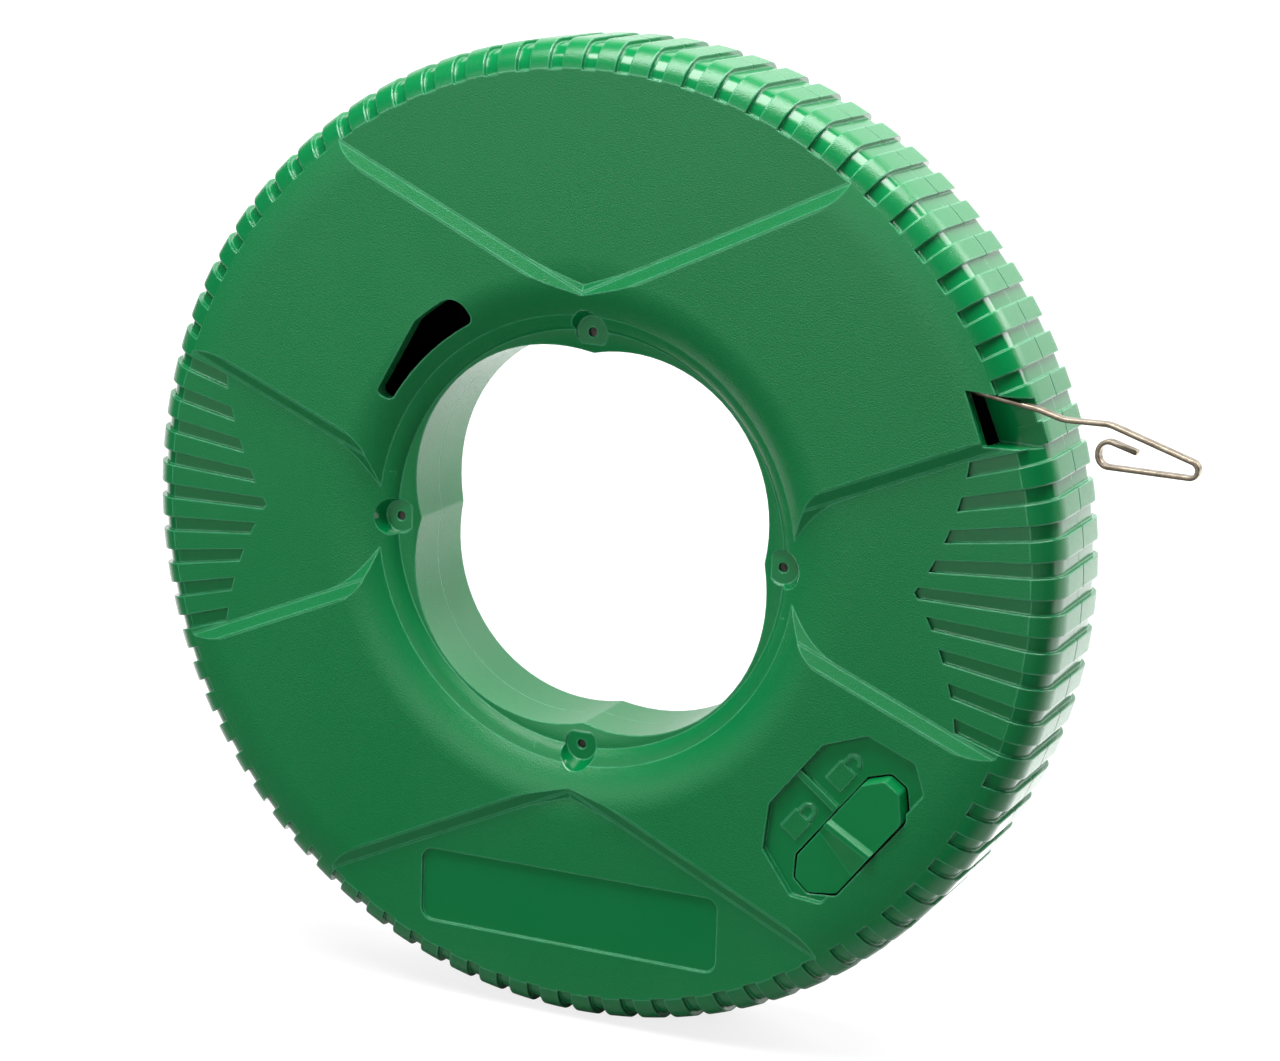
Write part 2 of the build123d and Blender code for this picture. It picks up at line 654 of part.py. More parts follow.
ANCHOR_TIP = basket_outer - anchor_length
with BuildPart() as reel_basket:
    with BuildSketch(Plane.XY):
        with Locations((BASKET_BORE, basket_floor)):
            Rectangle(basket_outer - BASKET_BORE, basket_floor_wall, align=(Align.MIN, Align.MIN))
        with Locations((BASKET_BORE, -basket_hub_front)):
            Rectangle(basket_hub_wall, basket_hub_front + BASKET_BACK, align=(Align.MIN, Align.MIN))
        with Locations((basket_outer, -basket_front)):
            Rectangle(basket_wall, basket_front + BASKET_BACK, align=(Align.MAX, Align.MIN))
    revolve(axis=Axis.Y)
    with BuildSketch(FRONT.offset(basket_front)):
        with PolarLocations(RING_SCREW_CIRCLE, ring_screw_count):
            Circle(ring_screw_radius + screw_clearance)
    extrude(amount=-ring_screw_length, mode=Mode.SUBTRACT)
    add(radial_hole(anchor_radius + screw_clearance, anchor_angle, anchor_y,
                    ANCHOR_TIP - overshoot, anchor_length + 2 * overshoot), mode=Mode.SUBTRACT)

with BuildPart() as lock_ring:
    with BuildSketch(FRONT.offset(LOCK_RING_BACK)):
        Circle(basket_outer)
        Circle(lock_ring_inner, mode=Mode.SUBTRACT)
        with PolarLocations(lock_ring_inner - overshoot, notch_count, start_angle=BOLT_ANGLE):
            Rectangle(notch_depth + overshoot, notch_width, align=(Align.MIN, Align.CENTER),
                      mode=Mode.SUBTRACT)
        with PolarLocations(RING_SCREW_CIRCLE, ring_screw_count):
            Circle(ring_screw_radius + screw_clearance, mode=Mode.SUBTRACT)
    extrude(amount=lock_ring_wall)
    with BuildSketch(FRONT.offset(LOCK_RING_FRONT)):
        with PolarLocations(RING_SCREW_CIRCLE, ring_screw_count):
            Circle(ring_screw_head + 2 * screw_clearance)
    extrude(amount=-ring_screw_head_height - screw_clearance, mode=Mode.SUBTRACT)

with BuildPart() as lock_ring_screws:
    with BuildSketch(FRONT.offset(LOCK_RING_FRONT - ring_screw_head_height)):
        with PolarLocations(RING_SCREW_CIRCLE, ring_screw_count):
            Circle(ring_screw_head)
    extrude(amount=ring_screw_head_height)
    with BuildSketch(FRONT.offset(LOCK_RING_FRONT - ring_screw_head_height)):
        with PolarLocations(RING_SCREW_CIRCLE, ring_screw_count):
            Circle(ring_screw_radius)
    extrude(amount=ring_screw_head_height - ring_screw_length)

with BuildPart() as tape_coil:
    with BuildSketch(Plane.XY):
        with Locations((COIL_OUTER, coil_play - basket_front)):
            Rectangle(coil_depth, basket_front + basket_floor - 2 * coil_play,
                      align=(Align.MAX, Align.MIN))
    revolve(axis=Axis.Y)
    add(radial_hole(anchor_radius + screw_clearance, anchor_angle, anchor_y, ANCHOR_TIP - root,
                    anchor_length), mode=Mode.SUBTRACT)

with BuildPart() as tape_anchor_screw:
    add(radial_hole(anchor_radius, anchor_angle, anchor_y, ANCHOR_TIP, anchor_length + overshoot))
    add(radial_hole(anchor_head_radius, anchor_angle, anchor_y, basket_outer + seat_gap,
                    anchor_head_height))

with BuildPart() as glide_ring:
    with BuildSketch(BACK.offset(BASKET_BACK + glide_gap)):
        Circle(glide_outer)
        Circle(glide_inner, mode=Mode.SUBTRACT)
    extrude(amount=INNER_FACE - seat_gap - BASKET_BACK - glide_gap)

# ---------------------------------------------------------------- tape end
lean = radians(tape_lean)
tape_plane = Plane(origin=(0, tape_plane_y, 0), x_dir=(cos(lean), -sin(lean), 0),
                   z_dir=(-sin(lean), -cos(lean), 0))
with BuildPart() as tape_end:
    with BuildSketch(tape_plane):
        with BuildLine():
            tape_line = FilletPolyline(*tape_points, radius=tape_bends)
        trace(tape_line, tape_thickness)
    extrude(amount=tape_width / 2, both=True)

# ---------------------------------------------------------------- lock
def along_pin(plane, start):
    """Plane across the pin at a place along it: local x across, local y outwards."""
    return Plane(origin=plane.from_local_coords(Vector(start, 0, 0)), x_dir=plane.y_dir,
                 z_dir=plane.x_dir)


ROCKER_LENGTH = rocker_outer - rocker_inner
with BuildPart(ROCKER_PLANE) as lock_rocker:
    sections = zip((rocker_inner, rocker_outer), crest_tangs, valley_tangs)
    for place, crest, valley in sections:
        with BuildSketch(along_pin(ROCKER_PLANE, place)):
            Polygon(*rocker_section(crest, valley), align=None)
    loft(ruled=True)
    add(rocker_sweep().moved(ROCKER_PLANE.location.inverse()), mode=Mode.INTERSECT)
    with BuildSketch(along_pin(ROCKER_PLANE, rocker_inner)):
        Circle(boss_radius)
        Rectangle(2 * boss_radius, rocker_bottom + root, align=(Align.CENTER, Align.MIN))
    extrude(amount=ROCKER_LENGTH)
    with BuildSketch(along_pin(ROCKER_PLANE, rocker_inner)):
        Circle(pin_radius + running_gap)
    extrude(amount=ROCKER_LENGTH, mode=Mode.SUBTRACT)
    with BuildSketch(ROCKER_PLANE.offset(LUG_FOOT)):
        with Locations((bolt_radial, -bolt_arm * cos(radians(lock_tilt)))):
            Circle(lug_radius)
    extrude(amount=rocker_bottom + root - LUG_FOOT)

with BuildPart() as rocker_pin:
    with BuildSketch(along_pin(PIN_PLANE, EAR_PLACES[0])):
        Circle(pin_radius)
    extrude(amount=EAR_PLACES[1] + ear_wall - EAR_PLACES[0])

with BuildPart() as lock_frame:
    with BuildSketch(face_plane(lock_angle, FRAME_BACK)):
        with Locations((frame_inner, pivot_shift)):
            Rectangle(EAR_PLACES[1] + ear_wall - frame_inner, 2 * frame_half,
                      align=(Align.MIN, Align.CENTER))
        with Locations(*[(frame_screw_radial, tang) for tang in frame_screw_tangs]):
            Circle(frame_screw_radius + screw_clearance, mode=Mode.SUBTRACT)
        with Locations((bolt_radial, BOLT_TANG)):
            Circle(bolt_radius + running_gap, mode=Mode.SUBTRACT)
        with Locations((leaf_radial, pivot_shift + leaf_rivet_tang)):
            Circle(rivet_radius + seat_gap, mode=Mode.SUBTRACT)
    extrude(amount=frame_plate)
    for place in EAR_PLACES:
        with BuildSketch(along_pin(PIN_PLANE, place)):
            with Locations((0, ear_height)):
                Rectangle(ear_width, ear_height + pivot_depth - frame_face,
                          align=(Align.CENTER, Align.MAX))
            Circle(pin_radius + seat_gap / 2, mode=Mode.SUBTRACT)
        extrude(amount=ear_wall)

with BuildPart() as lock_frame_screws:
    with BuildSketch(face_plane(lock_angle, FRAME_BACK - seat_gap)):
        with Locations(*[(frame_screw_radial, tang) for tang in frame_screw_tangs]):
            Circle(frame_screw_head)
    extrude(amount=-frame_screw_head_height)
    with BuildSketch(face_plane(lock_angle, FRAME_BACK - seat_gap)):
        with Locations(*[(frame_screw_radial, tang) for tang in frame_screw_tangs]):
            Circle(frame_screw_radius)
    extrude(amount=frame_screw_length)

with BuildPart() as lock_bolt:
    with BuildSketch(face_plane(lock_angle, BOLT_TIP)):
        with Locations((bolt_radial, BOLT_TANG)):
            Circle(bolt_radius)
    extrude(amount=bolt_head_top - BOLT_TIP)
    with BuildSketch(face_plane(lock_angle, BOLT_HEAD_BOTTOM)):
        with Locations((bolt_radial, BOLT_TANG)):
            Circle(bolt_head_radius)
    extrude(amount=bolt_head_height)

with BuildPart() as bolt_spring:
    room = BOLT_HEAD_BOTTOM - frame_face - 2 * (spring_wire + seat_gap)
    spring_plane = face_plane(lock_angle, frame_face + spring_wire + seat_gap)
    spring_base = spring_plane.from_local_coords(Vector(bolt_radial, BOLT_TANG, 0))
    with BuildLine() as coil_line:
        Helix(pitch=room / spring_turns, height=room, radius=spring_radius,
              center=spring_base, direction=spring_plane.z_dir)
    with BuildSketch(Plane(origin=coil_line.line @ 0, z_dir=coil_line.line % 0)):
        Circle(spring_wire)
    sweep(path=coil_line.line, is_frenet=True)

with BuildPart() as rocker_detent:
    across = face_plane(lock_angle, LEAF_BACK)
    leaf_start = across.from_local_coords(Vector(leaf_radial - leaf_width / 2, pivot_shift, 0))
    with BuildSketch(Plane(origin=leaf_start, x_dir=across.y_dir, z_dir=across.x_dir)):
        half_run = [
            (leaf_half, 0), (leaf_flat, 0), (leaf_flat / 3, leaf_rise),
            (-leaf_flat / 3, leaf_rise), (-leaf_flat, 0), (-leaf_half, 0)]
        top_run = [(x, y + leaf_thickness) for x, y in reversed(half_run)]
        Polygon(*half_run, *top_run, align=None)
    extrude(amount=leaf_width)
    with BuildSketch(across):
        with Locations((leaf_radial, pivot_shift + leaf_rivet_tang)):
            Circle(rivet_radius + seat_gap)
    extrude(amount=leaf_thickness, mode=Mode.SUBTRACT)

with BuildPart() as detent_rivet:
    rivet_top = LEAF_BACK + leaf_thickness + seat_gap
    for base, height, radius in (
        (FRAME_BACK - seat_gap - rivet_head_height, rivet_head_height, rivet_head),
        (FRAME_BACK - seat_gap, rivet_top - FRAME_BACK + seat_gap, rivet_radius),
        (rivet_top, rivet_head_height, rivet_head),
    ):
        with BuildSketch(face_plane(lock_angle, base)):
            with Locations((leaf_radial, pivot_shift + leaf_rivet_tang)):
                Circle(radius)
        extrude(amount=height)

pieces = {
    "front_shell": front_shell, "rear_shell": rear_shell, "case_screws": case_screws,
    "hub_sleeve": hub_sleeve, "hub_circlip": hub_circlip, "hub_washer": hub_washer,
    "reel_basket": reel_basket, "lock_ring": lock_ring, "lock_ring_screws": lock_ring_screws,
    "tape_coil": tape_coil, "tape_anchor_screw": tape_anchor_screw, "glide_ring": glide_ring,
    "tape_end": tape_end, "lock_rocker": lock_rocker, "rocker_pin": rocker_pin,
    "lock_frame": lock_frame, "lock_frame_screws": lock_frame_screws, "lock_bolt": lock_bolt,
    "bolt_spring": bolt_spring, "rocker_detent": rocker_detent, "detent_rivet": detent_rivet,
}
for name, piece in pieces.items():
    piece.part.label = name
    export_step(piece.part, f"parts/{name}.step")
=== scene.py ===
"""Dressed model of a steel fish tape in a closed, ribbed case with a hand hole.

The solids of the case, reel and lock keep their shapes and get moulded-plastic and steel
finishes. The tape's leader and the wound tape are surfaces worked out here.
"""
import logging
import math
from dataclasses import dataclass, field
from enum import Enum

import bpy
import numpy as np
from mathutils import Matrix, Vector


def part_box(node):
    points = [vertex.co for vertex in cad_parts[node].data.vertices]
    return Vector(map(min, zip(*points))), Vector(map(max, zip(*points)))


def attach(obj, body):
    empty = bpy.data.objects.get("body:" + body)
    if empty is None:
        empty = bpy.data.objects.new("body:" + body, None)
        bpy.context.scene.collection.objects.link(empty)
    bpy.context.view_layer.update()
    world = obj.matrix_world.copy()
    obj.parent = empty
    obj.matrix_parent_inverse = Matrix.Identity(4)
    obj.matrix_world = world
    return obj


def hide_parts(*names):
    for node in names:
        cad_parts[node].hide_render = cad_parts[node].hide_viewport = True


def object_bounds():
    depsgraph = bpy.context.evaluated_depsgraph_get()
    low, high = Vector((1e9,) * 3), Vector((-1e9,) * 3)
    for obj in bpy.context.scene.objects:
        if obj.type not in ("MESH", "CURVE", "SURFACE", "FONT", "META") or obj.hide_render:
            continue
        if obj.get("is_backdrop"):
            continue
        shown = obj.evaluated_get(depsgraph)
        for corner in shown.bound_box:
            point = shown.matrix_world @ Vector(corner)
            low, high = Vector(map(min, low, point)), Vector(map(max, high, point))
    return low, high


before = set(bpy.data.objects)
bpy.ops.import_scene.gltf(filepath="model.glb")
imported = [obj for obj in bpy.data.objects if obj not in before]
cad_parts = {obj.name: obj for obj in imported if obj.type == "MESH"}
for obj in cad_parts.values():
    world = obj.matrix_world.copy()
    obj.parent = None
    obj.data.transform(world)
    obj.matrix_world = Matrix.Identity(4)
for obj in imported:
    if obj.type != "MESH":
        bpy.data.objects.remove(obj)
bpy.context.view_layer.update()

log = logging.getLogger("fish_tape")
MM = 0.001
WHITE = (1.0, 1.0, 1.0, 1.0)
MIX_FIRST, MIX_SECOND, MIX_RESULT = 6, 7, 2


class Sheen(Enum):
    """How a moulded surface left its tool: roughness of each finish."""

    SPARKED = 0.35
    MOULDED = 0.3
    POLISHED = 0.14
    WAXY = 0.5


@dataclass(frozen=True)
class Plastic:
    """A moulded plastic: colours in linear light, sizes of grain and edges in metres."""

    name: str
    body: tuple[float, float, float]
    pale: tuple[float, float, float]
    grain_size: float
    grain_depth: float
    sheen: Sheen
    edge_radius: float = 0.0006
    specular: float = 0.5


@dataclass(frozen=True)
class Metal:
    """A metal: colours in linear light, roughness, depth of scratches, radius of edges."""

    name: str
    body: tuple[float, float, float]
    stain: tuple[float, float, float]
    roughness: float
    scratch_depth: float = 0.00001
    edge_radius: float = 0.0002


GREEN = Plastic(
    "case_green", body=(0.0004, 0.21, 0.054), pale=(0.12, 0.52, 0.28), grain_size=0.0005,
    grain_depth=0.00012, sheen=Sheen.SPARKED, edge_radius=0.0007, specular=0.42)
LOCK_GREEN = Plastic(
    "lock_green", body=(0.0004, 0.24, 0.06), pale=(0.06, 0.46, 0.22), grain_size=0.0006,
    grain_depth=0.00004, sheen=Sheen.MOULDED, specular=0.45)
REEL_BLACK = Plastic(
    "reel_black", body=(0.012, 0.013, 0.013), pale=(0.05, 0.05, 0.05), grain_size=0.0006,
    grain_depth=0.00004, sheen=Sheen.SPARKED)
SLIP_WHITE = Plastic(
    "slip_white", body=(0.62, 0.6, 0.52), pale=(0.7, 0.68, 0.62), grain_size=0.0008,
    grain_depth=0.00002, sheen=Sheen.WAXY)
TAPE_STEEL = Metal(
    "tape_steel", body=(0.34, 0.29, 0.22), stain=(0.2, 0.165, 0.12), roughness=0.3)
SCREW_BLACK = Metal(
    "screw_black", body=(0.10, 0.095, 0.085), stain=(0.03, 0.027, 0.022), roughness=0.38,
    edge_radius=0.0001)
ZINC = Metal(
    "zinc_steel", body=(0.55, 0.55, 0.54), stain=(0.36, 0.35, 0.33), roughness=0.34)


class Wiring:
    """Short calls that place and join shader nodes in one tree."""

    def __init__(self, tree: bpy.types.NodeTree) -> None:
        """Keep the tree that the nodes go into."""
        self.tree = tree

    def node(self, kind: str, **values: object) -> bpy.types.Node:
        """Add a node.

        Args:
            kind: the node's type name without its ShaderNode prefix.
            values: attributes of the node, by name.

        Returns:
            The new node.
        """
        made = self.tree.nodes.new("ShaderNode" + kind)
        for name, value in values.items():
            setattr(made, name, value)
        return made

    def feed(self, socket: bpy.types.NodeSocket, value: object) -> None:
        """Set a socket's number or colour, or join an output to it."""
        if isinstance(value, bpy.types.NodeSocket):
            self.tree.links.new(value, socket)
        elif isinstance(value, (tuple, list)) and len(value) == 3 and socket.type == "RGBA":
            socket.default_value = (*value, 1.0)
        else:
            socket.default_value = value

    def math(self, operation: str, *terms: object, clamp: bool = False) -> bpy.types.NodeSocket:
        """Join a Math node.

        Args:
            operation: the node's operation.
            terms: numbers or outputs for its inputs.
            clamp: keep the result between 0 and 1.

        Returns:
            Its result.
        """
        made = self.node("Math", operation=operation, use_clamp=clamp)
        for socket, term in zip(made.inputs, terms):
            self.feed(socket, term)
        return made.outputs[0]

    def ramp(self, value: object, low: float, high: float,
             out_low: float = 0.0, out_high: float = 1.0) -> bpy.types.NodeSocket:
        """Smooth step of a value from low to high, between two results.

        Args:
            value: the output that is read.
            low: value at which the step starts.
            high: value at which it ends.
            out_low: result at the start.
            out_high: result at the end.

        Returns:
            The stepped value.
        """
        made = self.node("MapRange", interpolation_type="SMOOTHSTEP")
        for socket, term in zip(made.inputs, (value, low, high, out_low, out_high)):
            self.feed(socket, term)
        return made.outputs[0]

    def mix(self, amount: object, first: object, second: object) -> bpy.types.NodeSocket:
        """Blend two colours by an amount.

        Args:
            amount: 0 for the first, 1 for the second.
            first: a colour or an output.
            second: a colour or an output.

        Returns:
            The blended colour.
        """
        made = self.node("Mix", data_type="RGBA")
        self.feed(made.inputs[0], amount)
        self.feed(made.inputs[MIX_FIRST], first)
        self.feed(made.inputs[MIX_SECOND], second)
        return made.outputs[MIX_RESULT]

    def length(self, first: object, second: object) -> bpy.types.NodeSocket:
        """Root of the sum of two squares."""
        return self.math("SQRT", self.math("ADD", self.math("MULTIPLY", first, first),
                                           self.math("MULTIPLY", second, second)))

    def noise(self, vector: object, size: float, detail: float = 2.0,
              roughness: float = 0.5) -> bpy.types.NodeSocket:
        """Noise whose bumps are about a given size.

        Args:
            vector: the coordinates.
            size: size of the bumps in metres.
            detail: octaves of finer noise.
            roughness: weight of the finer octaves.

        Returns:
            A value round 0.5.
        """
        made = self.node("TexNoise")
        self.feed(made.inputs["Vector"], vector)
        self.feed(made.inputs["Scale"], 1.0 / size)
        self.feed(made.inputs["Detail"], detail)
        self.feed(made.inputs["Roughness"], roughness)
        return made.outputs[0]


def shader_group(name: str, inputs: dict[str, str], outputs: dict[str, str]) -> tuple[
        bpy.types.NodeTree, bpy.types.Node, bpy.types.Node]:
    """Start a shader node group with named sockets.

    Args:
        name: the group's name.
        inputs: socket type by name, each the end of NodeSocket.
        outputs: the same for its results.

    Returns:
        The group's tree, its input node and its output node.
    """
    tree = bpy.data.node_groups.new(name, "ShaderNodeTree")
    for label, kind in inputs.items():
        tree.interface.new_socket(label, in_out="INPUT", socket_type="NodeSocket" + kind)
    for label, kind in outputs.items():
        tree.interface.new_socket(label, in_out="OUTPUT", socket_type="NodeSocket" + kind)
    return tree, tree.nodes.new("NodeGroupInput"), tree.nodes.new("NodeGroupOutput")


@dataclass
class FinishShop:
    """Builds the shader groups once and makes the materials with them.

    The first fields are sizes of the case that tell its polished places, in metres and
    degrees: rim slots, wedge floors, lock recess and screw pockets.
    """

    rib_count: int = 84
    slot_angle: float = 1.8
    slot_start: float = 0.1461
    slot_floor: float = 0.0238
    face_inner: float = 0.0946
    lock_angle: float = -38.4
    lock_inner: float = 0.0971
    lock_half: float = 0.031
    recess_floor: float = 0.02391
    screw_circle: float = 0.0658
    pocket_floor: float = 0.0156
    pocket_radius: float = 0.0052
    pocket_flare: float = 0.375
    slack: float = 0.0002
    slot_blur: tuple[float, float] = (0.03, 0.005)
    rim_polish: float = 0.5
    polished_shine: float = 0.6
    polished_grain: float = 0.07
    grain_detail: tuple[float, float] = (1.5, 1.0)
    fine_grain: tuple[float, float] = (3.1, 0.35)
    # Turn of the rounded normal over which the painted edge highlight and rub fades in.
    highlight_turn: tuple[float, float] = (0.9997, 0.992)
    streak_turn: tuple[float, float, float] = (0.3, 0.9, 0.5)
    streak_scale: tuple[float, float, float] = (1.0, 1.0, 0.08)
    scratch_scale: tuple[float, float, float] = (0.05, 1.0, 1.0)
    pale_tone: float = 0.02
    # Share of the pale colour painted on plastic edges as a highlight and rub.
    pale_highlight: float = 0.7
    pale_rub: float = 0.01
    tone_gloss: tuple[float, float] = (0.05, -0.02)
    edge_gloss: float = -0.1
    # Share of the brighter colour on metal edges: partly rubbed metal, partly a painted
    # highlight.
    metal_highlight_and_wear: float = 0.6
    bright_gain: float = 1.5
    bright_lift: float = 0.05
    metal_share: float = 0.9
    stain_gloss: float = 0.14
    bevel_samples: int = 4
    groups: dict[str, bpy.types.NodeTree] = field(default_factory=dict)
    made: dict[str, bpy.types.Material] = field(default_factory=dict)

    def build_groups(self) -> None:
        """Make the grain, wear, mottling and polished-region groups."""
        self.groups["grain"] = self.grain_group()
        self.groups["highlight_and_wear"] = self.highlight_and_wear_group()
        self.groups["mottle"] = self.mottle_group()
        self.groups["polished"] = self.polished_group()

    def grain_group(self) -> bpy.types.NodeTree:
        """Height of a spark-eroded grain: two noises, the finer about a third of the size.

        Returns:
            The group, with inputs Vector and Size and output Height.
        """
        tree, given, result = shader_group(
            "moulded_grain", {"Vector": "Vector", "Size": "Float"}, {"Height": "Float"})
        wire = Wiring(tree)
        finer, weight = self.fine_grain
        rate = wire.math("DIVIDE", 1.0, given.outputs["Size"])
        coarse = wire.node("TexNoise")
        wire.feed(coarse.inputs["Vector"], given.outputs["Vector"])
        wire.feed(coarse.inputs["Scale"], rate)
        coarse.inputs["Detail"].default_value = self.grain_detail[0]
        fine = wire.node("TexNoise")
        wire.feed(fine.inputs["Vector"], given.outputs["Vector"])
        wire.feed(fine.inputs["Scale"], wire.math("MULTIPLY", rate, finer))
        fine.inputs["Detail"].default_value = self.grain_detail[1]
        height = wire.math("MULTIPLY_ADD", fine.outputs[0], weight, coarse.outputs[0])
        wire.feed(result.inputs["Height"], height)
        return tree

    def highlight_and_wear_group(self) -> bpy.types.NodeTree:
        """Painted edge highlight and rub: where the rounded normal leaves the flat one, broken by
        noise.

        Returns:
            The group, with inputs Vector, Rounded and Flat and one output, the painted edge
            highlight and rub.
        """
        tree, given, result = shader_group(
            "edge_highlight_and_wear", {"Vector": "Vector", "Rounded": "Vector", "Flat": "Vector"},
            {"HighlightAndWear": "Float"})
        wire = Wiring(tree)
        dot = wire.node("VectorMath", operation="DOT_PRODUCT")
        wire.feed(dot.inputs[0], given.outputs["Rounded"])
        wire.feed(dot.inputs[1], given.outputs["Flat"])
        turned = wire.ramp(dot.outputs["Value"], *self.highlight_turn)
        broken = wire.noise(given.outputs["Vector"], size=0.006, detail=3.0, roughness=0.6)
        patch = wire.ramp(broken, low=0.3, high=0.6, out_low=0.55)
        wire.feed(result.inputs["HighlightAndWear"], wire.math("MULTIPLY", turned, patch))
        return tree

    def mottle_group(self) -> bpy.types.NodeTree:
        """Slow change of tone over the piece and faint rub marks.

        Returns:
            The group, with input Vector and outputs Tone and Rub.
        """
        tree, given, result = shader_group(
            "mottle", {"Vector": "Vector"}, {"Tone": "Float", "Rub": "Float"})
        wire = Wiring(tree)
        slow = wire.noise(given.outputs["Vector"], size=0.055, detail=3.0, roughness=0.55)
        flow = wire.node("Mapping")
        wire.feed(flow.inputs["Vector"], given.outputs["Vector"])
        flow.inputs["Rotation"].default_value = self.streak_turn
        flow.inputs["Scale"].default_value = self.streak_scale
        streak = wire.noise(flow.outputs[0], size=0.0011, detail=4.0, roughness=0.7)
        wire.feed(result.inputs["Tone"], wire.ramp(slow, low=0.3, high=0.7))
        wire.feed(result.inputs["Rub"], wire.ramp(streak, low=0.62, high=0.78))
        return tree

    def polished_group(self) -> bpy.types.NodeTree:
        """Parts of a shell with a polished tool surface: rim, slots, lock recess, pockets.

        The rim is half polished, and fully in its slots, where the angle about the case axis
        is within half a slot of a slot's middle. Inside the rim, a place sunk below the slot
        floors is polished. The lock recess is a sunk place near the lock, on the front. A
        pocket is a cone about a screw's axis: its radius grows with the height above its
        floor.

        Returns:
            The group, with input Vector and output Polished.
        """
        tree, given, result = shader_group(
            "polished_regions", {"Vector": "Vector"}, {"Polished": "Float"})
        wire = Wiring(tree)
        split = wire.node("SeparateXYZ")
        wire.feed(split.inputs[0], given.outputs["Vector"])
        x, y, z = split.outputs
        radius = wire.length(x, z)
        turn = wire.math("ARCTAN2", z, x)
        step = wire.math("MULTIPLY", turn, self.rib_count / math.tau)
        whole_turns = 1000.0
        phase = wire.math("PINGPONG", wire.math("ADD", step, whole_turns), 0.5)
        half = 0.5 * self.slot_angle / (360 / self.rib_count)
        in_slot = wire.ramp(phase, *(half + blur for blur in self.slot_blur))
        outer = wire.math("GREATER_THAN", radius, self.slot_start)
        depth = wire.math("ABSOLUTE", y)
        shallow = wire.math("LESS_THAN", depth, self.slot_floor)
        face = wire.math("MULTIPLY", wire.math("GREATER_THAN", radius, self.face_inner),
                         wire.math("SUBTRACT", 1.0, outer))
        floors = wire.math("MULTIPLY", face, shallow)
        rim = wire.math("MULTIPLY", outer, wire.math("MULTIPLY_ADD", in_slot,
                                                    1.0 - self.rim_polish, self.rim_polish))
        turned = math.radians(self.lock_angle)
        along = wire.math("ADD", wire.math("MULTIPLY", x, math.cos(turned)),
                          wire.math("MULTIPLY", z, math.sin(turned)))
        across = wire.math("SUBTRACT", wire.math("MULTIPLY", z, math.cos(turned)),
                           wire.math("MULTIPLY", x, math.sin(turned)))
        near_lock = wire.math("MULTIPLY", wire.math("GREATER_THAN", along, self.lock_inner),
                              wire.math("LESS_THAN", wire.math("ABSOLUTE", across),
                                        self.lock_half))
        in_front = wire.math("LESS_THAN", y, 0.0)
        sunk = wire.math("MULTIPLY", wire.math("MULTIPLY", in_front, near_lock),
                         wire.math("LESS_THAN", depth, self.recess_floor + self.slack / 2))
        wide, tall = wire.math("ABSOLUTE", x), wire.math("ABSOLUTE", z)
        far = wire.math("SUBTRACT", wire.math("MAXIMUM", wide, tall), self.screw_circle)
        aside = wire.math("MINIMUM", wide, tall)
        reach = wire.length(far, aside)
        wall = wire.math("MULTIPLY_ADD", wire.math("SUBTRACT", depth, self.pocket_floor),
                         self.pocket_flare, self.pocket_radius + self.slack)
        pocket = wire.math("MULTIPLY", wire.math("LESS_THAN", reach, wall),
                           wire.math("GREATER_THAN", depth, self.pocket_floor - self.slack))
        places = wire.math("MAXIMUM", sunk, pocket)
        total = wire.math("MAXIMUM", wire.math("MAXIMUM", floors, rim), places)
        wire.feed(result.inputs["Polished"], total)
        return tree

    def use(self, wire: Wiring, name: str, **inputs: object) -> bpy.types.Node:
        """Place a group in a material with its own values.

        Args:
            wire: the material's wiring.
            name: the group's name here.
            inputs: numbers or outputs by socket name.

        Returns:
            The group node.
        """
        placed = wire.node("Group")
        placed.node_tree = self.groups[name]
        for label, value in inputs.items():
            wire.feed(placed.inputs[label], value)
        return placed

    def start(self, name: str) -> tuple[bpy.types.Material, Wiring, bpy.types.Node, object]:
        """A material with an empty Principled BSDF and object coordinates.

        Args:
            name: the material's name.

        Returns:
            The material, its wiring, the BSDF and the coordinates.
        """
        material = bpy.data.materials.new(name)
        material.use_nodes = True
        tree = material.node_tree
        tree.nodes.clear()
        wire = Wiring(tree)
        surface = wire.node("BsdfPrincipled")
        out = wire.node("OutputMaterial")
        tree.links.new(surface.outputs[0], out.inputs[0])
        place = wire.node("TexCoord").outputs["Object"]
        return material, wire, surface, place

    def edges(self, wire: Wiring, radius: float, place: object) -> tuple[object, object]:
        """Round a material's edges and find where a highlight and rub is painted on them.

        Args:
            wire: the material's wiring.
            radius: radius of the edges in metres.
            place: the coordinates.

        Returns:
            The rounded normal and the mask of the painted edge highlight and rub.
        """
        rounded = wire.node("Bevel", samples=self.bevel_samples)
        rounded.inputs["Radius"].default_value = radius
        flat = wire.node("NewGeometry").outputs["Normal"]
        highlight_and_wear = self.use(wire, "highlight_and_wear", Vector=place, Rounded=rounded.outputs[0], Flat=flat)
        return rounded.outputs[0], highlight_and_wear.outputs["HighlightAndWear"]

    @staticmethod
    def relief(wire: Wiring, surface: bpy.types.Node, height: object, distance: float,
               normal: object) -> None:
        """Bump a surface.

        Args:
            wire: the material's wiring.
            surface: its BSDF.
            height: the height's output.
            distance: depth of the relief in metres.
            normal: the normal that is bumped.
        """
        bump = wire.node("Bump")
        bump.inputs["Distance"].default_value = distance
        wire.feed(bump.inputs["Height"], height)
        wire.feed(bump.inputs["Normal"], normal)
        wire.feed(surface.inputs["Normal"], bump.outputs[0])

